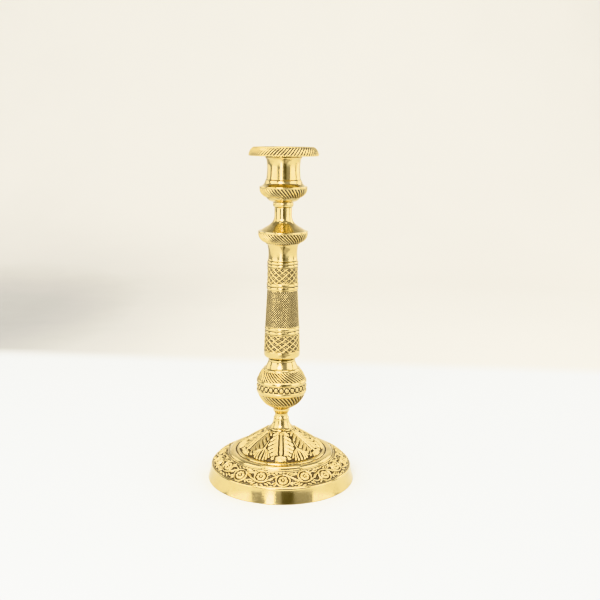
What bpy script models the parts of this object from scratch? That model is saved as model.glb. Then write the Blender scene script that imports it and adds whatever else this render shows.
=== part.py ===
"""Brass candlestick, 285 mm high on a round foot 124 mm across.

It is built as the real one is: seven turned or cast brass pieces stacked on one iron tie rod. The rod
screws into the foot of the candle cup, and a square nut and a washer under the base pull the stack
tight. Each piece centres in the next with a short spigot. The bobeche, which is the drip pan with its
candle sleeve, only stands in the cup and lifts off.

+Z is up and the origin is the middle of the foot's resting face. Sizes are in millimetres, and
turned() and the nut turn them into the scene's metres.
"""

import math

import bmesh
import bpy
from mathutils.geometry import interpolate_bezier

MM = 0.001
FACETS = 32  # round each turned piece
CURVE_STEPS = 3  # along each curved stretch of an outline

# Fits
SEAT_GAP = 0.3  # between two faces that rest on each other
SPIGOT_GAP = 0.3  # round a spigot, the tie rod or the bobeche's sleeve
EDGE = 0.4  # chamfer on a machined corner

# Base casting
BASE_RADIUS = 63.3
BASE_HEIGHT = 43.6
BASE_WALL = 2.1
RIM_HEIGHT = 12.6
RIM_LEAN = 3.2  # the rim's wall leans in by this much
RIM_EDGE = 1.0  # bevel between the rim and the frieze
FRIEZE_WIDTH = 12.5
FRIEZE_RISE = 8.4
FRIEZE_CROWN = 0.7  # how far the frieze bulges beyond a straight slope
BAND_STEP = 1.0  # fillet between the frieze and the torus
TORUS_WIDTH = 6.9
TORUS_RISE = 1.9
BEAD_WIDTH = 2.4  # small moulding between the torus and the dome
DOME_SHOULDER = 0.9  # flat ring round the collar's foot
BOSS_THICKNESS = 5.0  # plate that the tie rod pulls on

# Stem collar
COLLAR_HEIGHT = 9.0
COLLAR_FOOT_RADIUS = 11.0
COLLAR_FOOT_EDGE = 0.9
COLLAR_TOP_RADIUS = 6.6
COLLAR_SPIGOT_RADIUS = 8.0
COLLAR_SPIGOT_LENGTH = 2.5

# Ball knop
BALL_RADIUS = 21.7
BALL_CORE_RADIUS = 16.5  # cored out to save metal
STEM_WAIST_RADIUS = 5.6
STEM_WAIST_HEIGHT = 4.4  # above the knop's lower end
STEM_BELL_RADIUS = 7.5  # where the stem meets the ball
STEM_BELL_HEIGHT = 9.5
STEM_SPIGOT_LENGTH = 3.6
SPIGOT_WALL = 1.5
BALL_SHOULDER_RADIUS = 14.6
BALL_NECK_RADIUS = 11.4
BALL_NECK_FLARE = 0.9  # how much wider the neck is halfway down
BALL_NECK_HEIGHT = 7.8
BALL_RING_HEIGHT = 4.8  # of each ring above and below the equator
BALL_RING_HALF_WIDTH = 1.65
BALL_RING_RAISE = 0.35

# Shaft
SHAFT_LENGTH = 83.8
SHAFT_BORE_RADIUS = 10.2
SHAFT_FOOT_WALL = 1.0
SHAFT_FOOT_HEIGHT = 7.2
SHAFT_FOOT_ROUND = 2.9  # height of the rounding under the foot
SHAFT_LOWER_RADIUS = 15.3
SHAFT_UPPER_RADIUS = 12.9
LOWER_LATTICE_HEIGHT = 14.5
LOWER_RING_HEIGHT = 6.0
UPPER_RING_HEIGHT = 6.0
UPPER_LATTICE_HEIGHT = 13.2
TOP_RING_HEIGHT = 5.3
SHAFT_RING_RAISE = 0.5
SHAFT_RING_GROOVE = 0.5
LOWER_RING_INSET = 1.1  # from the lower band in to the root of the ring above it
TOP_RING_INSET = 0.4
SHAFT_SPIGOT_LENGTH = 6.0

# Shoulder knop
NECK_RADIUS = 12.0
NECK_FOOT_FLARE = 0.5
NECK_HEIGHT = 14.5
DISC_UNDER_RADIUS = 13.4
DISC_RADIUS = 20.9
DISC_BAND_HEIGHT = 9.0
DISC_LIP_HEIGHT = 1.2
CONE_HEIGHT = 12.0
PILLAR_RADIUS = 7.3
PILLAR_HEIGHT = 7.1
CUP_SPIGOT_LENGTH = 2.4
SHOULDER_CORE_RADIUS = 7.6  # drilled out from below, up to the disc

# Candle cup
CUP_FOOT_HEIGHT = 4.2
CUP_FOOT_RADIUS = 8.4
CUP_UNDER_HEIGHT = 3.8
CUP_BAND_HEIGHT = 8.2
CUP_LIP_HEIGHT = 1.2
CUP_SHOULDER_HEIGHT = 5.0
CUP_THROAT_HEIGHT = 19.0
CUP_UNDER_STEP = 0.2  # the rope band's lower edge stands this far out from the neck's wall
CUP_BULGE = 6.6
CUP_SHOULDER_STEP = 1.4
CUP_LIP_FLARE = 1.95
CUP_WALL = 1.25
CUP_FLOOR = 3.4  # between the rod's blind hole and the candle's seat
ROD_ENGAGEMENT = 8.0  # how far the rod screws into the cup's foot

# Bobeche
CANDLE_RADIUS = 11.0
CANDLE_CLEARANCE = 0.15
SLEEVE_WALL = 0.8
SLEEVE_FOOT_GAP = 5.0  # between the sleeve's foot and the floor of the cup
PAN_RADIUS = 28.9
PAN_THICKNESS = 1.3
PAN_CREST_HEIGHT = 7.7  # above the seat
BRIM_WIDTH = 5.9
DISH_WALL = 3.2  # from the crest in to where the wax dish's floor starts
DISH_CURVE = 1.6
BRIM_DROP = 7.3  # from the crest to the brim's lower edge
SLEEVE_BEAD_WIDTH = 1.5
SLEEVE_BEAD_RISE = 3.2

# Tie rod, washer and nut
ROD_RADIUS = 3.0
ROD_TAIL = 3.5  # of thread showing below the nut
WASHER_RADIUS = 10.5
WASHER_THICKNESS = 1.6
NUT_WALL = 2.8
NUT_THICKNESS = 5.0
NUT_CHAMFER = 0.6

# Sizes that follow from the ones above
ROD_BORE_RADIUS = ROD_RADIUS + SPIGOT_GAP
STEM_SPIGOT_RADIUS = ROD_BORE_RADIUS + SPIGOT_WALL
SHAFT_SPIGOT_RADIUS = SHAFT_BORE_RADIUS - SPIGOT_GAP
SHAFT_FOOT_RADIUS = SHAFT_BORE_RADIUS + SHAFT_FOOT_WALL
SLEEVE_BORE_RADIUS = CANDLE_RADIUS + CANDLE_CLEARANCE
SLEEVE_RADIUS = SLEEVE_BORE_RADIUS + SLEEVE_WALL
CUP_BORE_RADIUS = SLEEVE_RADIUS + SPIGOT_GAP
CUP_NECK_RADIUS = CUP_BORE_RADIUS + CUP_WALL

# Where each piece of the stack stands
COLLAR_Z = BASE_HEIGHT + SEAT_GAP
BALL_KNOP_Z = COLLAR_Z + COLLAR_HEIGHT + SEAT_GAP
BALL_BOTTOM = math.sqrt(BALL_RADIUS**2 - STEM_BELL_RADIUS**2)
BALL_TOP = math.sqrt(BALL_RADIUS**2 - BALL_SHOULDER_RADIUS**2)
BALL_Z = BALL_KNOP_Z + STEM_BELL_HEIGHT + BALL_BOTTOM  # the ball's centre
BALL_NECK_Z = BALL_Z + BALL_TOP
SHAFT_Z = BALL_NECK_Z + BALL_NECK_HEIGHT + SEAT_GAP
NECK_Z = SHAFT_Z + SHAFT_LENGTH + SEAT_GAP
DISC_Z = NECK_Z + NECK_HEIGHT
CONE_Z = DISC_Z + DISC_BAND_HEIGHT + DISC_LIP_HEIGHT
PILLAR_Z = CONE_Z + CONE_HEIGHT
CUP_Z = PILLAR_Z + PILLAR_HEIGHT + SEAT_GAP
CUP_BAND_Z = CUP_Z + CUP_FOOT_HEIGHT + CUP_UNDER_HEIGHT
CUP_SHOULDER_Z = CUP_BAND_Z + CUP_BAND_HEIGHT + CUP_LIP_HEIGHT
CUP_THROAT_Z = CUP_SHOULDER_Z + CUP_SHOULDER_HEIGHT
CUP_TOP_Z = CUP_THROAT_Z + CUP_THROAT_HEIGHT
CUP_FLOOR_Z = CUP_Z + ROD_ENGAGEMENT + SEAT_GAP + CUP_FLOOR
PAN_Z = CUP_TOP_Z + SEAT_GAP
WASHER_Z = BASE_HEIGHT - BOSS_THICKNESS - SEAT_GAP - WASHER_THICKNESS
NUT_Z = WASHER_Z - SEAT_GAP - NUT_THICKNESS


def curve(start, start_handle, end_handle, end, steps=CURVE_STEPS):
    """The points of a Bezier stretch of an outline, both ends included."""
    ends = [(*point, 0) for point in (start, start_handle, end_handle, end)]
    return [(p.x, p.y) for p in interpolate_bezier(*ends, steps + 1)]


def arc(centre, radius, first, last, steps=CURVE_STEPS):
    """Points round a circle in the outline's plane, from one angle to another, in degrees."""
    angles = [math.radians(first + (last - first) * i / steps) for i in range(steps + 1)]
    return [(centre[0] + radius * math.cos(a), centre[1] + radius * math.sin(a)) for a in angles]


def material(name, colour, roughness):
    made = bpy.data.materials.new(name)
    made.use_nodes = True
    shader = made.node_tree.nodes["Principled BSDF"]
    shader.inputs["Base Color"].default_value = (*colour, 1)
    shader.inputs["Metallic"].default_value = 1
    shader.inputs["Roughness"].default_value = roughness
    return made


def finished(name, bm, finish):
    """The object made from bm, with its faces pointing out and its round faces shaded smooth."""
    bmesh.ops.recalc_face_normals(bm, faces=bm.faces)
    mesh = bpy.data.meshes.new(name)
    bm.to_mesh(mesh)
    bm.free()
    mesh.shade_smooth()
    mesh.set_sharp_from_angle(angle=math.radians(30))
    mesh.materials.append(finish)
    piece = bpy.data.objects.new(name, mesh)
    bpy.context.scene.collection.objects.link(piece)
    return piece


def turned(name, outline, finish):
    """Spins a closed outline of (radius, height) points about Z. A point on the axis stays one vertex."""
    bm = bmesh.new()
    verts = [bm.verts.new((r * MM, 0, z * MM)) for r, z in outline]
    edges = [bm.edges.new(pair) for pair in zip(verts, verts[1:] + verts[:1])]
    bmesh.ops.spin(
        bm,
        geom=verts + edges,
        axis=(0, 0, 1),
        cent=(0, 0, 0),
        steps=FACETS,
        angle=2 * math.pi,
        use_merge=True,
    )
    bmesh.ops.remove_doubles(bm, verts=bm.verts, dist=1e-7)
    return finished(name, bm, finish)


def base_outer():
    """The casting's outside, from the foot in to the collar's seat."""
    rim_top = BASE_RADIUS - RIM_LEAN
    frieze_foot = (rim_top - RIM_EDGE, RIM_HEIGHT + RIM_EDGE)
    frieze_top = (frieze_foot[0] - FRIEZE_WIDTH, frieze_foot[1] + FRIEZE_RISE)
    middle = ((frieze_foot[0] + frieze_top[0]) / 2, (frieze_foot[1] + frieze_top[1]) / 2)
    slope = math.hypot(FRIEZE_WIDTH, FRIEZE_RISE)
    crown = (
        middle[0] + FRIEZE_CROWN * FRIEZE_RISE / slope,
        middle[1] + FRIEZE_CROWN * FRIEZE_WIDTH / slope,
    )
    torus_foot = (frieze_top[0] - BAND_STEP, frieze_top[1] + BAND_STEP)
    torus_top = (torus_foot[0] - TORUS_WIDTH, torus_foot[1] + TORUS_RISE)
    bead_top = (torus_top[0] - BEAD_WIDTH, torus_top[1] + BEAD_WIDTH / 3)
    shoulder = (COLLAR_FOOT_RADIUS + DOME_SHOULDER, BASE_HEIGHT)
    fall = shoulder[1] - bead_top[1]
    return [
        (BASE_RADIUS - EDGE, 0),
        (BASE_RADIUS, EDGE),
        (rim_top, RIM_HEIGHT),
        frieze_foot,
        crown,
        frieze_top,
        (frieze_top[0], torus_foot[1]),
        *curve(
            torus_foot,
            (torus_foot[0], torus_foot[1] + TORUS_RISE * 0.6),
            (torus_foot[0] - TORUS_WIDTH * 0.4, torus_top[1]),
            torus_top,
        ),
        (torus_top[0], torus_top[1] - BAND_STEP * 0.6),
        (torus_top[0] - BEAD_WIDTH / 2, bead_top[1]),
        bead_top,
        *curve(
            (bead_top[0] - EDGE, bead_top[1]),
            (bead_top[0] - EDGE, bead_top[1] + fall * 0.25),
            (shoulder[0] + (bead_top[0] - shoulder[0]) * 0.35, shoulder[1] - fall * 0.35),
            (shoulder[0], shoulder[1] - EDGE),
        ),
        (shoulder[0] - EDGE, shoulder[1]),
    ]


def base_inner():
    """The collar's counterbore, the boss and the hollow underneath, from the axis out to the foot."""
    counterbore = COLLAR_SPIGOT_RADIUS + SPIGOT_GAP
    counterbore_floor = BASE_HEIGHT - COLLAR_SPIGOT_LENGTH - SEAT_GAP
    boss_z = BASE_HEIGHT - BOSS_THICKNESS
    frieze_inner = BASE_RADIUS - RIM_LEAN - RIM_EDGE - FRIEZE_WIDTH
    frieze_top_z = RIM_HEIGHT + RIM_EDGE + FRIEZE_RISE
    dome_radius = frieze_inner - BAND_STEP - TORUS_WIDTH - BEAD_WIDTH
    return [
        (counterbore, BASE_HEIGHT),
        (counterbore, counterbore_floor),
        (ROD_BORE_RADIUS, counterbore_floor),
        (ROD_BORE_RADIUS, boss_z),
        (COLLAR_FOOT_RADIUS + DOME_SHOULDER, boss_z),
        (dome_radius, frieze_top_z - BASE_WALL * 0.4),
        (frieze_inner, frieze_top_z - BASE_WALL * 1.2),
        (BASE_RADIUS - RIM_LEAN - BASE_WALL, RIM_HEIGHT - BASE_WALL * 0.7),
        (BASE_RADIUS - BASE_WALL, 0),
    ]


def collar_outline():
    """A bell that carries the stem down onto the base, with a spigot below and a socket above."""
    top_z = COLLAR_Z + COLLAR_HEIGHT
    foot_z = COLLAR_Z + COLLAR_FOOT_EDGE
    spigot_z = COLLAR_Z - COLLAR_SPIGOT_LENGTH
    socket = STEM_SPIGOT_RADIUS + SPIGOT_GAP
    socket_z = top_z - STEM_SPIGOT_LENGTH - SEAT_GAP
    return [
        (ROD_BORE_RADIUS, spigot_z),
        (COLLAR_SPIGOT_RADIUS, spigot_z),
        (COLLAR_SPIGOT_RADIUS, COLLAR_Z),
        (COLLAR_FOOT_RADIUS, COLLAR_Z),
        *curve(
            (COLLAR_FOOT_RADIUS, foot_z),
            (COLLAR_FOOT_RADIUS - 1.6, foot_z + 0.6),
            (COLLAR_TOP_RADIUS + 0.4, top_z - 3.4),
            (COLLAR_TOP_RADIUS, top_z),
        ),
        (socket, top_z),
        (socket, socket_z),
        (ROD_BORE_RADIUS, socket_z),
    ]


def ball_ring(height):
    """A raised ring on the ball, centred at this height above the ball's middle, going up."""
    low, high = height - BALL_RING_HALF_WIDTH, height + BALL_RING_HALF_WIDTH
    radius = math.sqrt(BALL_RADIUS**2 - height**2) + BALL_RING_RAISE
    skin = [math.sqrt(BALL_RADIUS**2 - z**2) for z in (low, high)]
    return [
        (skin[0], BALL_Z + low),
        (radius, BALL_Z + height - BALL_RING_HALF_WIDTH / 2),
        (radius, BALL_Z + height + BALL_RING_HALF_WIDTH / 2),
        (skin[1], BALL_Z + high),
    ]


def ball_outline():
    """Stem, ball and neck in one piece, bored for the rod and cored where it is thickest."""
    waist_z = BALL_KNOP_Z + STEM_WAIST_HEIGHT
    bell_z = BALL_Z - BALL_BOTTOM
    neck_top = BALL_NECK_Z + BALL_NECK_HEIGHT
    spigot_top = neck_top + SHAFT_SPIGOT_LENGTH
    ring_edge = math.degrees(math.asin((BALL_RING_HEIGHT + BALL_RING_HALF_WIDTH) / BALL_RADIUS))
    low_angle = -math.degrees(math.acos(STEM_BELL_RADIUS / BALL_RADIUS))
    high_angle = math.degrees(math.acos(BALL_SHOULDER_RADIUS / BALL_RADIUS))
    core_slope = BALL_CORE_RADIUS - ROD_BORE_RADIUS  # its ends narrow at 45 degrees
    core = BALL_CORE_RADIUS / 2
    return [
        (ROD_BORE_RADIUS, BALL_KNOP_Z - STEM_SPIGOT_LENGTH),
        (STEM_SPIGOT_RADIUS, BALL_KNOP_Z - STEM_SPIGOT_LENGTH),
        (STEM_SPIGOT_RADIUS, BALL_KNOP_Z),
        (COLLAR_TOP_RADIUS, BALL_KNOP_Z),
        (COLLAR_TOP_RADIUS, BALL_KNOP_Z + EDGE),
        (STEM_WAIST_RADIUS, waist_z),
        *curve(
            (STEM_WAIST_RADIUS, waist_z + EDGE),
            (STEM_WAIST_RADIUS + 0.9, waist_z + 1.4),
            (STEM_BELL_RADIUS, bell_z - 3.4),
            (STEM_BELL_RADIUS, bell_z),
        )[:-1],
        *arc((0, BALL_Z), BALL_RADIUS, low_angle, -ring_edge)[:-1],
        *ball_ring(-BALL_RING_HEIGHT),
        *ball_ring(BALL_RING_HEIGHT),
        *arc((0, BALL_Z), BALL_RADIUS, ring_edge, high_angle)[1:],
        (BALL_SHOULDER_RADIUS - EDGE, BALL_NECK_Z + EDGE),
        (BALL_NECK_RADIUS + BALL_NECK_FLARE, BALL_NECK_Z + BALL_NECK_HEIGHT / 2),
        (BALL_NECK_RADIUS, neck_top - EDGE),
        (BALL_NECK_RADIUS - EDGE, neck_top),
        (SHAFT_SPIGOT_RADIUS, neck_top),
        (SHAFT_SPIGOT_RADIUS, spigot_top - EDGE),
        (SHAFT_SPIGOT_RADIUS - EDGE, spigot_top),
        (ROD_BORE_RADIUS, spigot_top),
        (ROD_BORE_RADIUS, BALL_Z + core + core_slope),
        (BALL_CORE_RADIUS, BALL_Z + core),
        (BALL_CORE_RADIUS, BALL_Z - core),
        (ROD_BORE_RADIUS, BALL_Z - core - core_slope),
    ]


def shaft_ring(radius, z, height):
    """A pair of beads with a groove between them, going up from z."""
    crest = radius + SHAFT_RING_RAISE
    middle = z + height / 2
    return [
        (radius, z),
        (crest, z + EDGE),
        (crest, middle - SHAFT_RING_GROOVE),
        (radius, middle),
        (crest, middle + SHAFT_RING_GROOVE),
        (crest, z + height - EDGE),
        (radius, z + height),
    ]


def shaft_outline():
    """A hollow tapering tube: foot, lattice band, ring, engine-turned taper, ring, lattice band, ring."""
    top_z = SHAFT_Z + SHAFT_LENGTH
    lower_band_z = SHAFT_Z + SHAFT_FOOT_HEIGHT
    lower_ring_z = lower_band_z + LOWER_LATTICE_HEIGHT
    taper_z = lower_ring_z + LOWER_RING_HEIGHT
    top_ring_z = top_z - TOP_RING_HEIGHT
    upper_ring_z = top_ring_z - UPPER_LATTICE_HEIGHT - UPPER_RING_HEIGHT
    taper_foot = SHAFT_LOWER_RADIUS - (SHAFT_LOWER_RADIUS - SHAFT_UPPER_RADIUS) / 3
    foot_bulge = SHAFT_LOWER_RADIUS + SHAFT_RING_RAISE / 3
    return [
        (SHAFT_BORE_RADIUS, SHAFT_Z),
        *curve(
            (SHAFT_FOOT_RADIUS, SHAFT_Z),
            (SHAFT_FOOT_RADIUS + SHAFT_FOOT_ROUND / 2, SHAFT_Z + EDGE),
            (foot_bulge - EDGE, SHAFT_Z + SHAFT_FOOT_ROUND / 2),
            (foot_bulge, SHAFT_Z + SHAFT_FOOT_ROUND),
        ),
        (foot_bulge, lower_band_z - EDGE),
        (SHAFT_LOWER_RADIUS, lower_band_z),
        *shaft_ring(SHAFT_LOWER_RADIUS - LOWER_RING_INSET, lower_ring_z, LOWER_RING_HEIGHT),
        (taper_foot, taper_z + EDGE),
        (SHAFT_UPPER_RADIUS, upper_ring_z - EDGE),
        *shaft_ring(SHAFT_UPPER_RADIUS, upper_ring_z, UPPER_RING_HEIGHT),
        *shaft_ring(SHAFT_UPPER_RADIUS - TOP_RING_INSET, top_ring_z, TOP_RING_HEIGHT)[:-1],
        (SHAFT_UPPER_RADIUS - EDGE, top_z),
        (SHAFT_BORE_RADIUS, top_z),
    ]


def shoulder_outline():
    """Neck, rope-edged disc and sloping pillar between the shaft and the candle cup."""
    spigot_z = NECK_Z - SHAFT_SPIGOT_LENGTH
    lip_z = DISC_Z + DISC_BAND_HEIGHT
    top_z = PILLAR_Z + PILLAR_HEIGHT
    cup_spigot = STEM_SPIGOT_RADIUS
    core_slope = SHOULDER_CORE_RADIUS - ROD_BORE_RADIUS  # its end narrows at 45 degrees
    return [
        (ROD_BORE_RADIUS, DISC_Z + core_slope),
        (SHOULDER_CORE_RADIUS, DISC_Z),
        (SHOULDER_CORE_RADIUS, spigot_z),
        (SHAFT_SPIGOT_RADIUS - EDGE, spigot_z),
        (SHAFT_SPIGOT_RADIUS, spigot_z + EDGE),
        (SHAFT_SPIGOT_RADIUS, NECK_Z),
        (NECK_RADIUS + NECK_FOOT_FLARE, NECK_Z),
        (NECK_RADIUS, NECK_Z + NECK_HEIGHT / 4),
        *curve(
            (NECK_RADIUS, NECK_Z + NECK_HEIGHT / 2),
            (NECK_RADIUS, DISC_Z - 4.0),
            (DISC_UNDER_RADIUS - 0.8, DISC_Z - 1.6),
            (DISC_UNDER_RADIUS, DISC_Z),
        ),
        *curve(
            (DISC_UNDER_RADIUS + EDGE, DISC_Z + EDGE),
            (DISC_RADIUS - 3.7, DISC_Z + 3.2),
            (DISC_RADIUS, lip_z - 3.0),
            (DISC_RADIUS, lip_z),
        ),
        (DISC_RADIUS - EDGE, CONE_Z),
        *curve(
            (DISC_RADIUS - 2 * EDGE, CONE_Z),
            (PILLAR_RADIUS + 5.6, CONE_Z + 4.4),
            (PILLAR_RADIUS + 0.6, CONE_Z + 5.8),
            (PILLAR_RADIUS, PILLAR_Z),
        ),
        (PILLAR_RADIUS, top_z),
        (cup_spigot, top_z),
        (cup_spigot, top_z + CUP_SPIGOT_LENGTH),
        (ROD_BORE_RADIUS, top_z + CUP_SPIGOT_LENGTH),
    ]


def cup_outline():
    """The candle cup, from its blind rod hole round the outside and down its bore to the floor."""
    socket = STEM_SPIGOT_RADIUS + SPIGOT_GAP
    socket_z = CUP_Z + CUP_SPIGOT_LENGTH + SEAT_GAP
    hole_z = CUP_Z + ROD_ENGAGEMENT + SEAT_GAP
    bulge = CUP_NECK_RADIUS + CUP_BULGE
    under = CUP_NECK_RADIUS + CUP_UNDER_STEP
    lip_z = CUP_BAND_Z + CUP_BAND_HEIGHT
    throat = CUP_NECK_RADIUS + CUP_SHOULDER_STEP
    return [
        (0, hole_z),
        (ROD_BORE_RADIUS, hole_z),
        (ROD_BORE_RADIUS, socket_z),
        (socket, socket_z),
        (socket, CUP_Z),
        (PILLAR_RADIUS, CUP_Z),
        (CUP_FOOT_RADIUS, CUP_Z + CUP_FOOT_HEIGHT - EDGE),
        (CUP_FOOT_RADIUS, CUP_Z + CUP_FOOT_HEIGHT),
        (CUP_FOOT_RADIUS + 1.0, CUP_Z + CUP_FOOT_HEIGHT + EDGE),
        (under, CUP_BAND_Z - EDGE),
        *curve(
            (under + EDGE, CUP_BAND_Z),
            (bulge - 3.2, CUP_BAND_Z + 2.2),
            (bulge - 0.6, lip_z - 3.0),
            (bulge - EDGE, lip_z),
        ),
        (bulge, lip_z + EDGE),
        (bulge - EDGE, CUP_SHOULDER_Z),
        *curve(
            (bulge - 3 * EDGE, CUP_SHOULDER_Z),
            (throat + 1.4, CUP_SHOULDER_Z + 1.0),
            (throat + 0.5, CUP_THROAT_Z - 2.4),
            (throat, CUP_THROAT_Z),
        ),
        *curve(
            (throat - EDGE, CUP_THROAT_Z + EDGE),
            (CUP_NECK_RADIUS, CUP_THROAT_Z + CUP_THROAT_HEIGHT * 0.35),
            (CUP_NECK_RADIUS, CUP_TOP_Z - CUP_THROAT_HEIGHT * 0.12),
            (CUP_NECK_RADIUS + CUP_LIP_FLARE, CUP_TOP_Z - EDGE),
        ),
        (CUP_NECK_RADIUS + CUP_LIP_FLARE - EDGE, CUP_TOP_Z),
        (CUP_BORE_RADIUS, CUP_TOP_Z),
        (CUP_BORE_RADIUS, CUP_FLOOR_Z),
        (0, CUP_FLOOR_Z),
    ]


def bobeche_outline():
    """The sleeve that holds the candle, its bead, the wax dish and the turned-down brim."""
    sleeve_foot = CUP_FLOOR_Z + SLEEVE_FOOT_GAP
    crest_radius = PAN_RADIUS - BRIM_WIDTH
    crest_z = PAN_Z + PAN_CREST_HEIGHT
    brim_z = crest_z - BRIM_DROP
    floor_z = PAN_Z + PAN_THICKNESS
    bead_top = PAN_Z + SLEEVE_BEAD_RISE
    bead_radius = SLEEVE_RADIUS + SLEEVE_BEAD_WIDTH
    dish_foot = CUP_NECK_RADIUS + CUP_LIP_FLARE + EDGE
    dish_radius = crest_radius - DISH_WALL
    return [
        (SLEEVE_BORE_RADIUS, sleeve_foot),
        (SLEEVE_RADIUS, sleeve_foot),
        (SLEEVE_RADIUS, PAN_Z),
        (dish_foot, PAN_Z),
        (dish_foot + EDGE, PAN_Z + EDGE),
        *curve(
            (dish_radius, PAN_Z + EDGE),
            (dish_radius + DISH_CURVE, PAN_Z + EDGE),
            (crest_radius - DISH_CURVE / 2, crest_z - PAN_THICKNESS),
            (crest_radius, crest_z - PAN_THICKNESS),
        ),
        *curve(
            (crest_radius, crest_z - PAN_THICKNESS),
            (PAN_RADIUS - PAN_THICKNESS - 1.6, crest_z - PAN_THICKNESS),
            (PAN_RADIUS - PAN_THICKNESS, brim_z + 2.6),
            (PAN_RADIUS - PAN_THICKNESS, brim_z),
        )[1:],
        (PAN_RADIUS, brim_z),
        *curve(
            (PAN_RADIUS, brim_z + EDGE),
            (PAN_RADIUS, brim_z + 3.4),
            (crest_radius + 3.0, crest_z),
            (crest_radius, crest_z),
        ),
        *curve(
            (crest_radius, crest_z),
            (crest_radius - DISH_CURVE, crest_z),
            (dish_radius + DISH_CURVE / 2, floor_z),
            (dish_radius - DISH_CURVE / 2, floor_z),
        )[1:],
        (bead_radius, floor_z),
        (bead_radius, bead_top - EDGE),
        (bead_radius - EDGE, bead_top),
        (SLEEVE_BORE_RADIUS + EDGE, bead_top),
        (SLEEVE_BORE_RADIUS, bead_top - EDGE),
    ]


def chamfered_outline(bore, radius, low, high):
    """A ring, or a rod when its bore is 0, with chamfered outer corners."""
    return [
        (bore, low),
        (radius - EDGE, low),
        (radius, low + EDGE),
        (radius, high - EDGE),
        (radius - EDGE, high),
        (bore, high),
    ]


def square_nut(finish):
    """A square nut with its corners bevelled, bored for the rod."""
    bm = bmesh.new()
    bmesh.ops.create_cube(bm, size=1)
    across = 2 * (ROD_BORE_RADIUS + NUT_WALL)
    bmesh.ops.scale(bm, vec=(across * MM, across * MM, NUT_THICKNESS * MM), verts=bm.verts)
    nut = finished("square_nut", bm, finish)
    nut.location.z = (NUT_Z + NUT_THICKNESS / 2) * MM
    bevel = nut.modifiers.new("corners", "BEVEL")
    bevel.width = NUT_CHAMFER * MM
    bevel.segments = 1
    reach = NUT_THICKNESS  # past each face, so that the cut is clean
    outline = [
        (0, NUT_Z - reach),
        (ROD_BORE_RADIUS, NUT_Z - reach),
        (ROD_BORE_RADIUS, NUT_Z + NUT_THICKNESS + reach),
        (0, NUT_Z + NUT_THICKNESS + reach),
    ]
    cutter = turned("nut_bore_cutter", outline, finish)
    cutter.hide_render = True
    cutter.display_type = "WIRE"
    bore = nut.modifiers.new("bore", "BOOLEAN")
    bore.operation = "DIFFERENCE"
    bore.object = cutter
    return nut


def main():
    for leftover in list(bpy.data.objects):
        bpy.data.objects.remove(leftover)
    cast_brass = material("cast_brass", (0.72, 0.50, 0.17), 0.24)
    turned_brass = material("turned_brass", (0.78, 0.56, 0.20), 0.16)
    iron = material("iron", (0.16, 0.15, 0.14), 0.45)
    turned("base", base_outer() + base_inner(), cast_brass)
    turned("stem_collar", collar_outline(), turned_brass)
    turned("ball_knop", ball_outline(), turned_brass)
    turned("shaft", shaft_outline(), turned_brass)
    turned("shoulder_knop", shoulder_outline(), turned_brass)
    turned("candle_cup", cup_outline(), turned_brass)
    turned("bobeche", bobeche_outline(), turned_brass)
    rod = chamfered_outline(0, ROD_RADIUS, NUT_Z - ROD_TAIL, CUP_Z + ROD_ENGAGEMENT)
    turned("tie_rod", rod, iron)
    washer = chamfered_outline(ROD_BORE_RADIUS, WASHER_RADIUS, WASHER_Z, WASHER_Z + WASHER_THICKNESS)
    turned("washer", washer, turned_brass)
    square_nut(iron)


main()
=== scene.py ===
"""The looks of the brass candlestick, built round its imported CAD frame.

Lengths are in millimetres until a mesh is made; the studio and the camera are in metres.
"""

import math

import bmesh
import bpy
import numpy as np
from mathutils import Euler, Matrix, Vector


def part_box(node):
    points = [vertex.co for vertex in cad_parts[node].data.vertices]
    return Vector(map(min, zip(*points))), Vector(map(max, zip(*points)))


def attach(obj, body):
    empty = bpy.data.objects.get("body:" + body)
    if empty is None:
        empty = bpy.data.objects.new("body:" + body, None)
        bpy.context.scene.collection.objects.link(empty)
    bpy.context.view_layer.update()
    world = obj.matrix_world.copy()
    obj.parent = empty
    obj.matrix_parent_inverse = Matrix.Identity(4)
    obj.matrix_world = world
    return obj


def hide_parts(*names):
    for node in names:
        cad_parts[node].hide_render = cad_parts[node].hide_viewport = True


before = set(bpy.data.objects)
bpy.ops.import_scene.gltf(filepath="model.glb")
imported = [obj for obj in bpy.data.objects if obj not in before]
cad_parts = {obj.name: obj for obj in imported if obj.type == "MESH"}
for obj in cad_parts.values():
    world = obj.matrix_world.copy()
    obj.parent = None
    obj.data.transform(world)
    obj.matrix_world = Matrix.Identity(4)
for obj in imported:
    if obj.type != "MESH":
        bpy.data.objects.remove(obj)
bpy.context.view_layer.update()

MM = 0.001
TURN = 2 * math.pi
CAST = "cast"
rng = np.random.default_rng(11)


def span(node):
    """A CAD node's lowest height, highest height and radius."""
    low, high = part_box(node)
    return low[2] / MM, high[2] / MM, high[0] / MM


def placed(name, data):
    """A new object in the scene."""
    piece = bpy.data.objects.new(name, data)
    bpy.context.collection.objects.link(piece)
    return piece


# ---------------------------------------------------------------- outlines


def curve(start, start_handle, end_handle, end, steps=14):
    """Points along a cubic curve, both ends included."""
    t = np.linspace(0, 1, steps + 1)[:, None]
    a, b, c, d = (np.array(p, float) for p in (start, start_handle, end_handle, end))
    points = a * (1 - t) ** 3 + 3 * b * t * (1 - t) ** 2 + 3 * c * t**2 * (1 - t) + d * t**3
    return [tuple(p) for p in points]


def arc(radius, middle, first, last, steps):
    """Points on a circle centred on the axis at height middle.

    It runs between two angles, in degrees above its equator.
    """
    return [
        (radius * math.cos(math.radians(a)), middle + radius * math.sin(math.radians(a)))
        for a in np.linspace(first, last, steps + 1)
    ]


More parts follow.
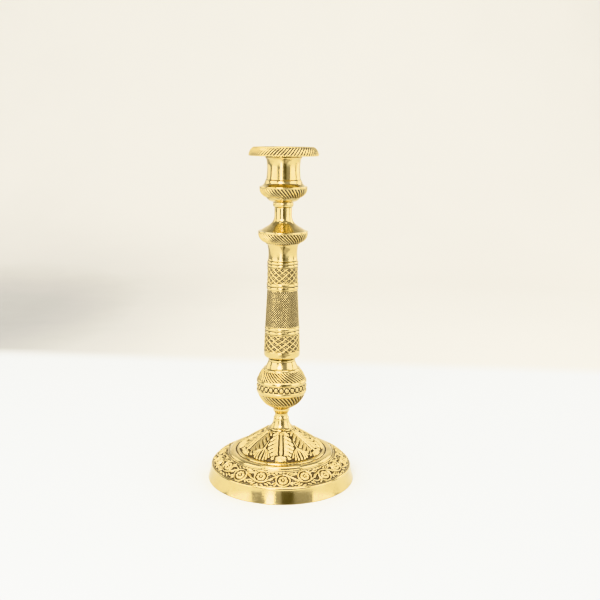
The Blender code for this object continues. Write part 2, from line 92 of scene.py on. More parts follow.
def bead(start, end, bulge, steps=8):
    """A rounded moulding from start to end that swells to the right of its direction of travel."""
    start, end = np.array(start, float), np.array(end, float)
    along = end - start
    out = np.array([along[1], -along[0]]) / np.hypot(*along)
    t = np.linspace(0, 1, steps + 1)
    swell = np.sqrt(np.clip(1 - (2 * t - 1) ** 2, 0, 1)) * bulge
    return [tuple(start + along * u + out * w) for u, w in zip(t, swell)]


CORNER = 0.22  # radius of a softened corner
SUPPORT = 1.5  # how far from a softened corner the flat is held, in lengths of its cut
SOILED = 0.75  # grime reaches this far out of a hollow corner
MIN_TURN = math.radians(14)  # a corner that turns less isn't softened
HOLLOW_TURN = math.radians(30)  # a hollow corner that turns less collects no grime
FULL_TURN = math.radians(60)  # a hollow corner that turns this much is full of it
CUT_SHARE, CUT_MOST = 0.4, 0.6  # the most of an edge, and the most in all, that a corner cuts
HELD_SHARE = 0.45  # the flat is held only inside this share of its edge
MIN_EDGE = 1e-4  # points nearer than this are one point
EDGE_FADE = 0.3  # a pattern fades out this far from the ends of its stretch
BLUR_REACH = 4  # how many cells a field is averaged over, each way, to find narrow grooves
RING_PROUD = 0.55  # how far a plain ring stands off its stem


def rows_of(stretches, closed):
    """The rows of a lathe grid, with the corners of its outline softened.

    Returns each row's point, outward normal, stretch (-1 where it has none), and how far
    it sits in a hollow corner.
    """
    points = []
    edge_owner = []  # the stretch of the edge that leaves each point, or -1
    for number, (outline, _, _) in enumerate(stretches):
        for k, p in enumerate(outline):
            if points and math.dist(points[-1], p) < MIN_EDGE:
                continue
            if points:
                edge_owner.append(number if k else -1)
            points.append(tuple(map(float, p)))
    if closed and math.dist(points[0], points[-1]) < MIN_EDGE:
        points.pop()
    else:
        edge_owner.append(-1)
    count = len(points)
    out, out_edge, out_hollow = [], [], []

    def put(p, edge, hollow=0.0):
        out.append(p)
        out_edge.append(edge)
        out_hollow.append(hollow)

    for i in range(count):
        here = np.array(points[i])
        if not closed and i in (0, count - 1):
            put(here, edge_owner[i])
            continue
        before = np.array(points[i - 1]) - here
        after = np.array(points[(i + 1) % count]) - here
        long_before, long_after = np.hypot(*before), np.hypot(*after)
        before, after = before / long_before, after / long_after
        turn = math.acos(max(-1.0, min(1.0, float(-(before @ after)))))
        cross = float(-before[0] * after[1] + before[1] * after[0])
        if turn < MIN_TURN:
            put(here, edge_owner[i])
            continue
        hollow = min(1.0, turn / FULL_TURN) if cross < 0 and turn > HOLLOW_TURN else 0.0
        shortest = min(long_before, long_after)
        cut = min(CORNER * math.tan(turn / 2) + 0.02, CUT_SHARE * shortest, CUT_MOST)
        held = max(cut * SUPPORT, SOILED if hollow else 0)
        if held < HELD_SHARE * long_before:
            put(here + before * held, edge_owner[i - 1])
        steps = max(2, round(turn / math.radians(24)))
        start, end = here + before * cut, here + after * cut
        for k in range(steps + 1):
            t = k / steps
            p = start * (1 - t) ** 2 + here * 2 * t * (1 - t) + end * t**2
            put(p, -1 if k < steps else edge_owner[i], hollow)
        if held < HELD_SHARE * long_after:
            put(here + after * held, edge_owner[i])
    # long edges of a stretch with a pitch are divided
    points, edges, hollows = [], [], []
    count = len(out)
    for i in range(count):
        points.append(out[i])
        edges.append(out_edge[i])
        hollows.append(out_hollow[i])
        if not closed and i == count - 1:
            break
        pitch = stretches[out_edge[i]][2] if out_edge[i] >= 0 else None
        if pitch:
            following = out[(i + 1) % count]
            parts = math.ceil(float(np.hypot(*(following - out[i]))) / pitch)
            for k in range(1, parts):
                points.append(out[i] + (following - out[i]) * k / parts)
                edges.append(out_edge[i])
                hollows.append(0.0)
    points = np.array(points)
    following = np.roll(points, -1, 0) - points
    if not closed:
        following[-1] = following[-2]
    following /= np.maximum(np.hypot(following[:, 0], following[:, 1]), 1e-9)[:, None]
    before = np.roll(following, 1, 0)
    if not closed:
        before[0] = following[0]
    tangent = following + before
    tangent /= np.maximum(np.hypot(tangent[:, 0], tangent[:, 1]), 1e-9)[:, None]
    normals = np.stack([tangent[:, 1], -tangent[:, 0]], 1)
    return points, normals, np.array(edges), np.array(hollows)


def blurred(field, reach):
    """A field averaged over a square of cells, round the piece and along it."""
    for axis in (1, 0):
        total = np.zeros_like(field)
        for shift in range(-reach, reach + 1):
            if axis:
                total += np.roll(field, shift, 1)
            else:
                rows = np.clip(np.arange(len(field)) + shift, 0, len(field) - 1)
                total += field[rows]
        field = total / (2 * reach + 1)
    return field


def lathe(name, stretches, columns, closed=True):
    """A turned piece, made of stretches (outline, pattern, pitch).

    pattern is None for plain turned metal, CAST for a casting's skin, or a function that
    gives heights. pitch is the longest distance between rows, or None. A function's grime is
    the height below which dirt lies and the fall over which it thickens, and its crevice
    says how much dirt narrow grooves collect.
    """
    points, normals, edges, hollows = rows_of(stretches, closed)
    phi = (np.arange(columns) / columns * TURN)[None, :]
    height = np.zeros((len(points), columns))
    hollow = np.repeat(hollows[:, None], columns, 1)
    rough = np.zeros((len(points), columns))
    worked = np.zeros((len(points), columns))
    for number, (_, pattern, _) in enumerate(stretches):
        rows = np.flatnonzero(edges == number)
        if pattern == CAST:
            rough[rows] = 1.0
        if not callable(pattern) or not len(rows):
            continue
        place = points[rows]
        steps = np.hypot(*np.diff(place, axis=0).T)
        along = np.concatenate([[0], np.cumsum(steps)])[:, None]
        length = float(along[-1, 0])
        field = pattern(phi, along, length, place[:, :1])
        edge = np.clip(np.minimum(along, length - along) / EDGE_FADE, 0, 1)
        height[rows] = field * edge
        worked[rows] = 1.0
        level, fade = getattr(pattern, "grime", (field.max(), np.ptp(field)))
        depth = np.clip((level - field) / fade, 0, 1)
        sunk = np.clip(blurred(field, BLUR_REACH) - field, 0, 1)
        depth += sunk * getattr(pattern, "crevice", 0.0)
        hollow[rows] = np.maximum(hollow[rows], np.clip(depth, 0, 1) * edge)
    radius = points[:, :1] + height * normals[:, :1]
    z = points[:, 1:] + height * normals[:, 1:]
    angle = phi - math.pi / 2
    place = np.stack([radius * np.cos(angle), radius * np.sin(angle), z], 2).reshape(-1, 3) * MM
    index = np.arange(radius.size).reshape(radius.shape)
    poles = [] if closed else [i for i in (0, len(points) - 1) if points[i, 0] < 1e-6]
    for i in poles:
        index[i] = index[i, 0]
    used, index = np.unique(index, return_inverse=True)
    index = index.reshape(radius.shape)
    low = index if closed else index[:-1]
    high = np.roll(index, -1, 0) if closed else index[1:]
    right = lambda a: np.roll(a, -1, 1)
    quads = np.stack([low, right(low), right(high), high], 2)
    bottom, top = (0 in poles), (len(points) - 1 in poles)
    whole = quads[(1 if bottom else 0) : (len(quads) - 1 if top else len(quads))].reshape(-1, 4)
    fans = []
    if bottom:
        fans.append(quads[0][:, [0, 2, 3]])
    if top:
        fans.append(quads[-1][:, [0, 1, 2]])
    fans = np.concatenate(fans) if fans else np.zeros((0, 3), int)
    mesh = bpy.data.meshes.new(name)
    mesh.vertices.add(len(used))
    mesh.vertices.foreach_set("co", place[used].astype(np.float32).ravel())
    corners = np.concatenate([whole.ravel(), fans.ravel()]).astype(np.int32)
    mesh.loops.add(len(corners))
    mesh.loops.foreach_set("vertex_index", corners)
    starts = np.concatenate([np.arange(len(whole)) * 4, len(whole) * 4 + np.arange(len(fans)) * 3])
    mesh.polygons.add(len(starts))
    mesh.polygons.foreach_set("loop_start", starts.astype(np.int32))
    mesh.update(calc_edges=True)
    mesh.validate()
    mesh.shade_smooth()
    for label, values in (("hollow", hollow), ("rough", rough), ("worked", worked)):
        layer = mesh.attributes.new(label, "FLOAT", "POINT")
        layer.data.foreach_set("value", values.ravel()[used].astype(np.float32))
    return placed(name, mesh)


# ---------------------------------------------------------------- reliefs


def near(value):
    """How far a value is from the nearest whole number, 0 to 0.5."""
    return np.abs(value - np.round(value))


def rope(count, lean, depth):
    """Slanting rounded cuts.

    lean is how far a cut moves sideways for each millimetre along the band, to the left
    where it is positive.
    """

    def field(phi, along, length, radius):
        middle = float(radius.mean())
        phase = count * (phi / TURN + lean * along / (TURN * middle))
        return -depth * np.abs(np.cos(math.pi * phase)) ** 1.8

    return field


def swirl(count, twist, depth):
    """Cuts that wind by twist degrees over the band, as on a ball."""

    def field(phi, along, length, radius):
        phase = count * (phi / TURN + twist / 360 * along / length)
        return -depth * np.abs(np.cos(math.pi * phase)) ** 1.8

    return field


LATTICE_RIB = 0.075  # half the width of a rib, in cells
LATTICE_FINE = 3  # pyramids along the side of a cell


def lattice(cells, rows, depth, infill):
    """Raised ribs crossing in diamonds over small pyramids."""

    def field(phi, along, length, radius):
        across = cells * phi / TURN
        up = rows * along / length
        first, second = across + up, across - up
        ribs = np.clip(1 - (np.minimum(near(first), near(second)) / LATTICE_RIB) ** 2, 0, 1) ** 0.5
        points = (2 * np.minimum(near(LATTICE_FINE * first), near(LATTICE_FINE * second))) ** 0.8
        return np.maximum(ribs * depth, infill * points) - depth

    return field


def knurl(count, rows, depth):
    """Fine crossing cuts that leave steep diamonds."""

    def field(phi, along, length, radius):
        across = count * phi / TURN
        up = rows * along / length
        cuts = np.minimum(
            np.abs(np.sin(math.pi * (across + up))), np.abs(np.sin(math.pi * (across - up)))
        )
        return -depth * (1 - cuts**0.7)

    field.grime = (0.0, 0.48 * depth)
    return field


def pearls(count, depth):
    """A row of pearls with small studs between them, above and below."""

    def field(phi, along, length, radius):
        across = count * phi / TURN
        side = (across - np.round(across)) / 0.37
        up = (along / length - 0.5) / 0.36
        large = np.sqrt(np.clip(1 - side**2 - up**2, 0, 1))
        other = (across + 0.5 - np.round(across + 0.5)) / 0.20
        studs = [
            np.sqrt(np.clip(1 - other**2 - ((along / length - v) / 0.15) ** 2, 0, 1))
            for v in (0.16, 0.84)
        ]
        return depth * (np.maximum(large, 0.8 * np.maximum(*studs)) - 1)

    return field


def ridge(field, x, y, path, widths, heights):
    """Raises a rounded ridge along a path of points, with a width and a height at each."""
    for k in range(len(path) - 1):
        (ax, ay), (bx, by) = path[k], path[k + 1]
        dx, dy = bx - ax, by - ay
        t = np.clip(((x - ax) * dx + (y - ay) * dy) / max(dx * dx + dy * dy, 1e-9), 0, 1)
        away = np.hypot(x - ax - t * dx, y - ay - t * dy)
        width = widths[k] + (widths[k + 1] - widths[k]) * t
        tall = heights[k] + (heights[k + 1] - heights[k]) * t
        shape = np.clip(1 - (away / width) ** 2, 0, 1) ** 0.6
        np.maximum(field, tall * shape, out=field)


def dot(field, x, y, place, width, tall):
    """Raises a round boss."""
    ridge(field, x, y, [place, (place[0] + 1e-3, place[1])], (width, width), (tall, tall))


def cut(field, x, y, path, width, depth):
    """Carves a groove along a path."""
    groove = np.zeros_like(field)
    ridge(groove, x, y, path, [width] * len(path), [depth] * len(path))
    field -= groove


def bent(start, end, sag, steps=4):
    """Points from start to end, bowed sideways by sag."""
    dx, dy = end[0] - start[0], end[1] - start[1]
    return [
        (
            start[0] + dx * t - dy * sag * 4 * t * (1 - t),
            start[1] + dy * t + dx * sag * 4 * t * (1 - t),
        )
        for t in np.linspace(0, 1, steps + 1)
    ]


def local(phi, centre, half):
    """Columns within half an angle of a centre, and their angles from it."""
    angle = (phi[0] - centre + math.pi) % TURN - math.pi
    columns = np.flatnonzero(np.abs(angle) < half)
    return columns, angle[columns][None, :]


# Half the width of a leaf, at each distance down from the collar
LEAF_DOWN = (0, 4, 8, 12, 16, 20, 23, 25.5, 27.5, 29.3, 30.6)
LEAF_WIDE = (7, 8, 10.2, 11.6, 12.2, 12.2, 11.7, 11.0, 10.2, 8.8, 5.5)
LOBE = 4.1  # from one lobe of a leaf to the next, down its rib
LOBE_LEAN = 0.75  # how far a lobe's groove climbs towards the rib, for each millimetre sideways
# A palmette's fingers: the tip, sideways and down from the collar, and the width there
FINGERS = (
    ((0.0, 30.8), 1.15),
    ((2.9, 30.6), 1.1),
    ((5.4, 29.6), 1.1),
    ((7.2, 27.4), 1.05),
)
DOME_LENGTH = 31.0  # the length that the leaves' measures are for
LEAVES = 6


def leaf_blade(x, y, sector, shift):
    """One broad leaf, lobed and veined, in heights."""
    side = np.abs(x)
    wide = np.interp(y, LEAF_DOWN, LEAF_WIDE)
    wide = np.minimum(wide, sector - 0.3)
    phase = (y - LOBE_LEAN * side) / LOBE + shift
    lobe = np.abs(np.sin(math.pi * phase))
    edge = wide - 2.1 * (1 - lobe) ** 1.5 * np.clip(side / 4, 0, 1)
    inside = np.clip((edge - side) / 1.3, 0, 1)
    blade = 1.35 * (1 - (1 - inside) ** 2) ** 0.5
    reach = np.clip((side / wide - 0.26) / 0.5, 0, 1)
    blade *= 1 - 0.95 * (1 - lobe) ** 1.7 * reach
    vein = np.abs(np.sin(math.pi * (phase * 3)))
    blade -= 0.45 * (1 - vein) ** 1.3 * np.clip((side - 1.8) / 1.5, 0, 1) * (blade > 0.3)
    eye = near(phase) / 0.20
    spot = np.clip(1 - eye**2 - ((side - 0.62 * wide) / 1.0) ** 2, 0, 1)
    blade -= 1.3 * spot**0.5 * (y > 6)
    groove = np.clip(1 - ((side - 1.5 - 0.02 * y) / (0.45 + 0.02 * y)) ** 2, 0, 1)
    return blade - 1.2 * groove**0.5 * (y < 26)


def leaves(phi, along, length, radius):
    """Six broad leaves hanging from the collar, with a palmette in each gap."""
    field = np.zeros((len(along), phi.shape[1]))
    down = (length - along) * DOME_LENGTH / length
    for k in range(LEAVES):
        columns, angle = local(phi, k * TURN / LEAVES, math.radians(30.2))
        x, y = radius * angle, down + 0 * angle
        leaf = np.clip(leaf_blade(x, y, radius * math.radians(30), rng.normal(0, 0.05)), 0, 2.2)
        ridge(leaf, x, y, [(0, 1), (0, 12), (0, 26)], (1.1, 0.9, 0.7), (1.9, 1.8, 1.6))
        dot(leaf, x, y, (0, 28.2), 1.5, 2.0)
        for side in (-1, 1):
            curl = [(side * 2.4, 26.4), (side * 4.0, 27.6), (side * 3.7, 29.6), (side * 2.2, 30.0)]
            cut(leaf, x, y, [(side * 1.2, 25.2), (side * 4.6, 25.8), (side * 5.4, 30.2)], 0.8, 1.5)
            ridge(leaf, x, y, curl, (0.6, 0.85, 0.85, 0.6), (1.6, 1.7, 1.6, 1.3))
            dot(leaf, x, y, (side * 2.3, 0.9), 1.15, 1.3)
            dot(leaf, x, y, (side * 4.5, 1.0), 1.1, 1.2)
        dot(leaf, x, y, (0, 1.3), 1.8, 2.0)
        field[:, columns] = np.maximum(field[:, columns], leaf)
    for k in range(LEAVES):
        columns, angle = local(phi, (k + 0.5) * TURN / LEAVES, math.radians(17))
        x, y = radius * angle, down + 0 * angle
        fan = np.zeros_like(x)
        ridge(fan, x, y, [(0, 9.5), (0, 14), (0, 18.5)], (0.45, 0.6, 0.85), (1.0, 1.3, 1.6))
        for tip, width in FINGERS:
            for side in (-1, 1):
                tip_here = (side * tip[0], tip[1] + rng.normal(0, 0.12))
                path = bent((side * 0.3, 18.8), tip_here, -0.10 * side * (tip[0] > 0))
                ridge(fan, x, y, path, np.linspace(0.45, width, 5), np.linspace(1.2, 1.6, 5))
        dot(fan, x, y, (0, 18.8), 1.3, 1.9)
        halo = np.zeros_like(x)
        ridge(halo, x, y, [(0, 9.5), (0, 18.5)], (1.2, 2.1), (1, 1))
        for tip, width in FINGERS:
            for side in (-1, 1):
                ridge(halo, x, y, [(0, 18.8), (side * tip[0], tip[1])], (2.1, width + 0.9), (1, 1))
        area = np.where(halo > 0.02, 0.0, field[:, columns])
        field[:, columns] = np.maximum(fan, area)
    return np.clip(field, 0, 2) - 0.6


leaves.grime, leaves.crevice = (0.45, 0.6), 2.6

FLOWERS = 18
FLOWER_START = math.radians(2)  # the first flower's place, to the right of the front
FLOWER_LOW = 6.0  # its centre, from the frieze's lower edge
FRIEZE_RADIUS = 54.0  # of the middle of the band, where its pattern is measured
VINE_LENGTH = FRIEZE_RADIUS * TURN / FLOWERS  # from flower to flower
VINE_MARGIN = 3.6  # the vine's crests stay this far inside the band
# Leaf strokes round a flower: start, tip, width
SPRIGS = (
    ((0.6, 13.4), (3.4, 14.2), 0.75),
    ((-0.6, 13.4), (-3.4, 14.2), 0.75),
    ((3.6, 11.9), (7.0, 14.0), 0.8),
    ((5.4, 11.2), (9.3, 12.9), 0.8),
    ((6.6, 10.2), (10.6, 11.0), 0.75),
    ((-4.2, 12.2), (-7.4, 14.1), 0.8),
    ((-6.2, 11.0), (-9.6, 12.6), 0.75),
    ((5.6, 3.2), (7.4, 1.0), 0.75),
    ((6.2, 3.8), (9.3, 2.2), 0.7),
    ((-5.4, 3.0), (-7.0, 0.9), 0.75),
    ((-6.3, 4.2), (-8.8, 2.4), 0.7),
)


def frieze(phi, along, length, radius):
    """Flowers in a waving vine: each is the one before turned over, so they sit low and high."""
    field = np.zeros((len(along), phi.shape[1]))
    for k in range(FLOWERS):
        columns, angle = local(phi, FLOWER_START + k * TURN / FLOWERS, math.radians(13.5))
        x = angle * FRIEZE_RADIUS + 0 * along
        y = along + 0 * angle
        if k % 2:
            y = length - y
            x = -x
        patch = np.zeros_like(x)
        wander = rng.normal(0, 0.12, 2)
        fx, fy = wander[0], FLOWER_LOW + wander[1]
        vine = [
            (u, length / 2 + (length / 2 - VINE_MARGIN) * math.cos(math.pi * u / VINE_LENGTH))
            for u in np.linspace(-VINE_LENGTH * 0.62, VINE_LENGTH * 0.62, 13)
        ]
        ridge(patch, x, y, vine, [0.8] * 13, [1.3] * 13)
        # the coil round the flower leaves the vine on the right
        coil = [
            (fx + 5.75 * math.cos(a), fy + 5.45 * math.sin(a))
            for a in np.radians(np.linspace(52, -218, 17))
        ]
        ridge(patch, x, y, coil, np.linspace(0.8, 0.62, 17), [1.35] * 17)
        for start, tip, width in SPRIGS:
            jig = rng.normal(0, 0.12, 2)
            path = bent(start, (tip[0] + jig[0], tip[1] + jig[1]), 0.08)
            widths = (0.4, width, width * 1.15, width, 0.35)
            ridge(patch, x, y, path, widths, (0.9, 1.2, 1.3, 1.2, 0.9))
        for spot in ((8.2, 8.6), (9.4, 7.2), (-8.6, 8.6), (-9.2, 7.0)):
            dot(patch, x, y, spot, 0.9, 1.2)
        away = np.hypot(x - fx, y - fy)
        spin = np.arctan2(y - fy, x - fx)
        petal = np.abs(np.cos(4 * spin + 0.3 * k))
        inner = 1.5 * np.sqrt(np.clip(1 - ((away - 2.55) / 1.5) ** 2, 0, 1))
        inner = inner * (0.45 + 0.55 * petal**0.5)
        flower = inner * (away < 4.1)
        pits = np.clip(1 - ((away - 1.55) / 0.6) ** 2, 0, 1) * np.abs(np.sin(4 * spin)) ** 2
        flower -= 1.0 * pits * (away < 2.2)
        heart = 1.6 * np.sqrt(np.clip(1 - (away / 1.0) ** 2, 0, 1))
        flower = np.maximum(flower, heart)
        gap = np.clip((away - 4.7) / 0.3, 0, 1)
        patch = np.where(away < 5.0, np.maximum(flower, patch * gap), patch)
        field[:, columns] = np.maximum(field[:, columns], patch)
    ground = 0.10 * np.sin(phi * 311 + 9 * along) * np.sin(phi * 173 - 7 * along)
    return np.maximum(field, 0.08 + ground * 0.5) - 0.6


frieze.grime, frieze.crevice = (0.35, 1.6), 2.6


def thread(pitch, depth):
    """A screw thread."""

    def field(phi, along, length, radius):
        return -depth * 2 * near(along / pitch - phi / TURN)

    return field


# ---------------------------------------------------------------- materials


class Nodes:
    """Adds nodes to a new material and links them."""

    def __init__(self, name):
        self.material = bpy.data.materials.new(name)
        self.material.use_nodes = True
        self.tree = self.material.node_tree
        self.shader = next(n for n in self.tree.nodes if n.type == "BSDF_PRINCIPLED")
        self.place = self.add("ShaderNodeTexCoord").outputs["Object"]

    def add(self, kind, **settings):
        node = self.tree.nodes.new(kind)
        for key, value in settings.items():
            setattr(node, key, value)
        return node

    def put(self, value, socket):
        if hasattr(value, "is_output"):
            self.tree.links.new(value, socket)
        else:
            socket.default_value = value

    def noise(self, scale, detail=4.0, rough=0.55, stretch=None):
        place = self.place
        if stretch:
            mapping = self.add("ShaderNodeMapping")
            mapping.inputs["Scale"].default_value = stretch
            self.put(place, mapping.inputs["Vector"])
            place = mapping.outputs["Vector"]
        node = self.add("ShaderNodeTexNoise")
        self.put(place, node.inputs["Vector"])
        for key, value in (("Scale", scale), ("Detail", detail), ("Roughness", rough)):
            node.inputs[key].default_value = value
        return node.outputs["Fac"]

    def spread(self, value, low, high, to_low=0.0, to_high=1.0):
        node = self.add("ShaderNodeMapRange", interpolation_type="SMOOTHSTEP")
        self.put(value, node.inputs["Value"])
        ends = {"From Min": low, "From Max": high, "To Min": to_low, "To Max": to_high}
        for key, number in ends.items():
            self.put(number, node.inputs[key])
        return node.outputs["Result"]

    def maths(self, kind, a, b=0.0):
        node = self.add("ShaderNodeMath", operation=kind)
        self.put(a, node.inputs[0])
        self.put(b, node.inputs[1])
        return node.outputs[0]

    def colours(self, amount, a, b):
        node = self.add("ShaderNodeMix", data_type="RGBA")
        self.put(amount, node.inputs[0])
        self.put((*a, 1) if isinstance(a, tuple) else a, node.inputs[6])
        self.put((*b, 1) if isinstance(b, tuple) else b, node.inputs[7])
        return node.outputs[2]

    def attribute(self, name):
        return self.add("ShaderNodeAttribute", attribute_name=name).outputs["Fac"]

    def bump(self, height, strength, distance, normal=None):
        node = self.add("ShaderNodeBump")
        self.put(height, node.inputs["Height"])
        node.inputs["Strength"].default_value = strength
        node.inputs["Distance"].default_value = distance
        if normal is not None:
            self.put(normal, node.inputs["Normal"])
        return node.outputs["Normal"]


BRIGHT = (0.70, 0.56, 0.262)
WORN = (0.44, 0.335, 0.138)
# the colour of the grime in hollows, also used for the painted occlusion shade in narrow corners
# and seams
GRIME_AND_SHADE = (0.070, 0.045, 0.018)
PATINA = 0.47  # how hollow a place is where grime starts
SATIN = 0.20  # how much rougher a worked band is than plain metal
CREVICE = 0.0016  # metres: how far the ambient occlusion reaches; corners and seams narrower than this get painted shade


def brass(name, gloss, grain):
    """Old polished brass: bright where rubbed, worn in patches, brown grime in the hollows, and
    painted shade from ambient occlusion in narrow corners and seams.
    """
    n = Nodes(name)
    hollow, rough, worked = n.attribute("hollow"), n.attribute("rough"), n.attribute("worked")
    patches = n.spread(n.noise(70, 5, 0.6), 0.42, 0.72)
    specks = n.spread(n.noise(950, 3, 0.6), 0.60, 0.72)
    tone = n.colours(n.maths("MULTIPLY", patches, 0.55), BRIGHT, WORN)
    tone = n.colours(n.spread(hollow, 0.15, 0.65, 0.0, 0.75), tone, WORN)
    wobble = n.spread(n.noise(420, 4, 0.65), 0.3, 0.7, -0.11, 0.11)
    deep = n.spread(n.maths("ADD", hollow, wobble), PATINA, PATINA + 0.26)
    # painted shade: ambient occlusion darkens narrow corners and the seams between parts towards
    # the grime colour
    crevice = n.add("ShaderNodeAmbientOcclusion", samples=8)
    crevice.inputs["Distance"].default_value = CREVICE
    painted_occlusion_shade = n.spread(crevice.outputs["AO"], 0.30, 0.66, 0.85, 0.0)
    # grime in hollows, dark specks and the painted occlusion shade, taken together
    grime_and_shade = n.maths("MAXIMUM", n.maths("MAXIMUM", deep, painted_occlusion_shade), n.maths("MULTIPLY", specks, 0.22))
    casting = n.maths("MULTIPLY", rough, n.spread(n.noise(160, 5, 0.7), 0.25, 0.6, 0.55, 0.95))
    grime_and_shade = n.maths("MAXIMUM", grime_and_shade, casting)
    n.put(n.colours(grime_and_shade, tone, GRIME_AND_SHADE), n.shader.inputs["Base Color"])
    n.put(n.spread(grime_and_shade, 0.0, 1.0, 1.0, 0.55), n.shader.inputs["Metallic"])
    smear = n.spread(n.noise(140, 5, 0.7), 0.35, 0.75, gloss, gloss + 0.13)
    satin = n.maths("MULTIPLY", worked, SATIN)
    gloss_loss = n.maths("MAXIMUM", satin, n.maths("MULTIPLY", grime_and_shade, 0.38))
    n.put(n.maths("ADD", smear, gloss_loss), n.shader.inputs["Roughness"])
    turning = n.noise(1.0, 3, 0.6, (40, 40, 5200))
    pits = n.noise(1500, 3, 0.6)
    normal = n.bump(turning, 0.12, 0.00004)
    normal = n.bump(pits, grain, 0.00008, normal)
    normal = n.bump(n.maths("MULTIPLY", n.noise(520, 5, 0.7), rough), 0.9, 0.0004, normal)
    n.put(normal, n.shader.inputs["Normal"])
    return n.material


turned_brass = brass("turned_brass_finish", gloss=0.11, grain=0.10)
cast_brass = brass("cast_brass_finish", gloss=0.10, grain=0.13)


def rusted_iron():
    """Dull forged iron with rust in patches."""
    n = Nodes("iron_finish")
    patches = n.spread(n.noise(260, 6, 0.7), 0.40, 0.62)
    grains = n.noise(2600, 3, 0.6)
    steel = n.colours(n.spread(grains, 0.3, 0.7), (0.13, 0.125, 0.12), (0.22, 0.21, 0.20))
    rust = n.colours(n.spread(grains, 0.3, 0.7), (0.13, 0.055, 0.022), (0.24, 0.11, 0.045))
    n.put(n.colours(patches, steel, rust), n.shader.inputs["Base Color"])
    n.put(n.spread(patches, 0, 1, 0.85, 0.1), n.shader.inputs["Metallic"])
    n.put(n.spread(patches, 0, 1, 0.42, 0.8), n.shader.inputs["Roughness"])
    n.put(n.bump(n.maths("ADD", grains, patches), 0.5, 0.0002), n.shader.inputs["Normal"])
    return n.material


iron = rusted_iron()


def finish(piece, node, body, material):
    """Gives a piece its material and its CAD body, and hides the CAD node it stands for."""
    piece.data.materials.append(material)
    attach(piece, body)
    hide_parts(node)


# ---------------------------------------------------------------- shared measures

ROD_BORE = 3.3  # the hole for the tie rod, in every piece of the stem
TENON, TENON_HOLE = 4.8, 5.1  # the slim spigots and the holes they stand in
SHAFT_TENON, SHAFT_BORE = 9.9, 10.2  # the spigots at the shaft's ends, and its bore
SLEEVE, SLEEVE_BORE = 11.95, 11.15  # the bobeche's sleeve
CUP_BORE = 12.25
PILLAR = 7.3
ROPE_PITCH, BALL_PITCH, PEARL_PITCH = 0.26, 0.26, 0.2  # distances between rows
LATTICE_PITCH, KNURL_PITCH, FRIEZE_PITCH, LEAF_PITCH = 0.21, 0.30, 0.29, 0.30
THREAD_PITCH = 0.14


def plain(*points):
    """A stretch of plain turned metal."""
    return list(points), None, None


def as_cast(*points):
    """A stretch with a casting's skin."""
    return list(points), CAST, None


# ---------------------------------------------------------------- the base

_, base_top, base_radius = span("base")
frieze_low = (base_radius - 4.2, 13.6)
frieze_high = (base_radius - 16.7, 22.0)
torus_low = frieze_high[0] - 1.0
torus_high = torus_low - 6.9
dome_low = (torus_high - 2.8, 25.7)
dome_high = (11.9, base_top - 0.4)
foot_inside = base_radius - 2.1
boss_bore, boss_floor, boss_under = 8.3, base_top - 2.8, base_top - 5.0
base = [
    plain(
        (base_radius - 0.4, 0), (base_radius, 0.5),
        *curve(
            (base_radius - 0.3, 1.4), (base_radius - 1.1, 4.0), (base_radius - 2.1, 7.6),
            (base_radius - 2.8, 11.2),
            10,
        ),
        (base_radius - 2.6, 12.1), (base_radius - 2.9, 12.9), (base_radius - 3.5, 13.3),
        (base_radius - 3.9, 13.1),
        frieze_low,
    ),
    (bead(frieze_low, frieze_high, 0.7, 14), frieze, FRIEZE_PITCH),
    plain(
        frieze_high,
        (frieze_high[0] - 0.1, 22.5),
        *bead((frieze_high[0] - 0.2, 22.4), (torus_low - 0.2, 23.0), 0.35, 6),
        (torus_low - 0.4, 22.7),
        *curve(
            (torus_low - 0.45, 22.85), (torus_low - 0.9, 24.8), (torus_low - 3.0, 25.6),
            (torus_high + 0.8, 24.8),
            12,
        ),
        (torus_high + 0.5, 24.2), (torus_high, 24.3), (torus_high - 0.4, 25.1),
        (dome_low[0] + 0.8, 25.6),
        dome_low,
    ),
    (
        curve(
            dome_low,
            (dome_low[0] - 0.4, 29.6), (dome_high[0] + 8.9, dome_high[1] - 6.5),
            dome_high,
            26,
        ),
        leaves,
        LEAF_PITCH,
    ),
    plain(
        dome_high,
        (dome_high[0] - 0.4, base_top), (boss_bore, base_top), (boss_bore, boss_floor),
    ),
    as_cast(
        (boss_bore, boss_floor), (ROD_BORE, boss_floor), (ROD_BORE, boss_under),
        (dome_high[0], boss_under), (dome_low[0] + 0.4, 21.16), (frieze_high[0], 19.48),
        (base_radius - 5.3, 11.13), (foot_inside, 0),
    ),
    plain((foot_inside, 0), (base_radius - 0.4, 0)),
]
finish(lathe("base_casting", base, 1080), "base", "stand", cast_brass)

# ---------------------------------------------------------------- the collar

collar_low, collar_high, _ = span("stem_collar")
seat = collar_low + 2.5
collar_hole = collar_high - 3.9
collar = [
    plain(
        (ROD_BORE, collar_low), (8.0, collar_low), (8.0, seat), (11.0, seat),
        (11.15, seat + 0.45), (10.9, seat + 0.95),
        *curve(
            (10.2, seat + 1.1), (9.2, seat + 1.6), (6.9, collar_high - 4.2),
            (6.6, collar_high - 0.1),
            16,
        ),
        (6.5, collar_high), (TENON_HOLE, collar_high), (TENON_HOLE, collar_hole),
        (ROD_BORE, collar_hole), (ROD_BORE, collar_low),
    ),
]
collar = lathe("stem_collar_turning", collar, 360)
finish(collar, "stem_collar", "stand", turned_brass)

# ---------------------------------------------------------------- the ball

